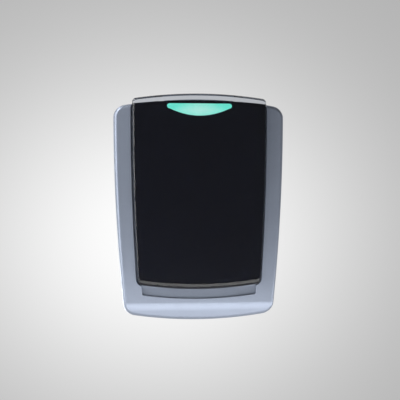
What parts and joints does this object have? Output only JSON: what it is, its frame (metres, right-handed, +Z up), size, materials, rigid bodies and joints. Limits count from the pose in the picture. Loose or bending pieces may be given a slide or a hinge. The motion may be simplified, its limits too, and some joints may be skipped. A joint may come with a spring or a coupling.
{
  "type": "rfid card reader",
  "caption": "Wall-mounted proximity card reader: tapered silver housing, glossy black tilting front cover with a lit indicator window, electronics inside.",
  "frame": {"origin": "on the wall face, the back of the wall gasket, on the reader's centre line, 58 mm above the housing's lowest point", "axes": "+X to the right seen from the front, -Y out of the wall towards the user, +Z up"},
  "size_m": [0.0858, 0.0206, 0.1143],
  "materials": {
    "silver_plastic": "satin metallic silver-grey paint on moulded plastic",
    "black_gloss": "glossy black moulded plastic",
    "mask_film": "black printed film behind the lens",
    "clear_lens": "clear polished polycarbonate",
    "clear_guide": "clear acrylic light guide",
    "lit_window": "lit mint-green diffuser",
    "dark_plastic": "fine-textured dark plastic",
    "pale_plastic": "natural nylon",
    "foam": "closed-cell foam sheet",
    "seal_rubber": "soft rubber",
    "steel": "zinc-plated or stainless steel",
    "aluminium_can": "drawn aluminium can",
    "copper_wire": "enamelled copper winding",
    "board_green": "green solder mask over glass-fibre laminate",
    "chip_black": "moulded epoxy package",
    "terminal_green": "moulded nylon",
    "led_red": "tinted epoxy",
    "led_green": "tinted epoxy"
  },
  "bodies": {
    "reader": {"wall_gasket": "foam", "rear_cover": "dark_plastic", "rear_seal": "seal_rubber", "housing": "silver_plastic", "hinge_pin_right": "steel", "hinge_pin_left": "steel", "rear_screw_1": "steel", "rear_screw_2": "steel", "rear_screw_3": "steel", "rear_screw_4": "steel", "circuit_board": "board_green", "board_screw_1": "steel", "board_screw_2": "steel", "board_screw_3": "steel", "board_screw_4": "steel", "coil_former": "pale_plastic", "antenna_coil": "copper_wire", "reader_chip": "chip_black", "controller_chip": "chip_black", "crystal": "steel", "voltage_regulator": "chip_black", "filter_capacitor": "aluminium_can", "buzzer": "chip_black", "led_red": "led_red", "led_green": "led_green", "light_pipe": "clear_guide", "terminal_block": "terminal_green", "terminal_screw_1": "steel", "terminal_screw_2": "steel", "terminal_screw_3": "steel", "terminal_screw_4": "steel", "terminal_screw_5": "steel", "terminal_screw_6": "steel", "tamper_switch": "chip_black", "tamper_spring": "steel"},
    "cover": {"cover_carrier": "black_gloss", "light_guide": "clear_guide", "front_mask": "mask_film", "indicator_diffuser": "lit_window", "front_lens": "clear_lens"},
    "plunger": {"tamper_plunger": "pale_plastic"}
  },
  "joints": [
    {"name": "cover_tilt", "type": "hinge", "parent": "reader", "child": "cover", "pos_m": [0, -0.0122, 0.051], "axis": [-1, 0, 0], "range_deg": [0, 30]},
    {"name": "plunger_slide", "type": "slide", "parent": "reader", "child": "plunger", "axis": [0, -1, 0], "range_m": [0, 0.0015], "deforming": ["tamper_spring"]}
  ],
  "couplings": [
    {"joint": "plunger_slide", "follows": "cover_tilt", "m_per_rad": 0.00286}
  ]
}
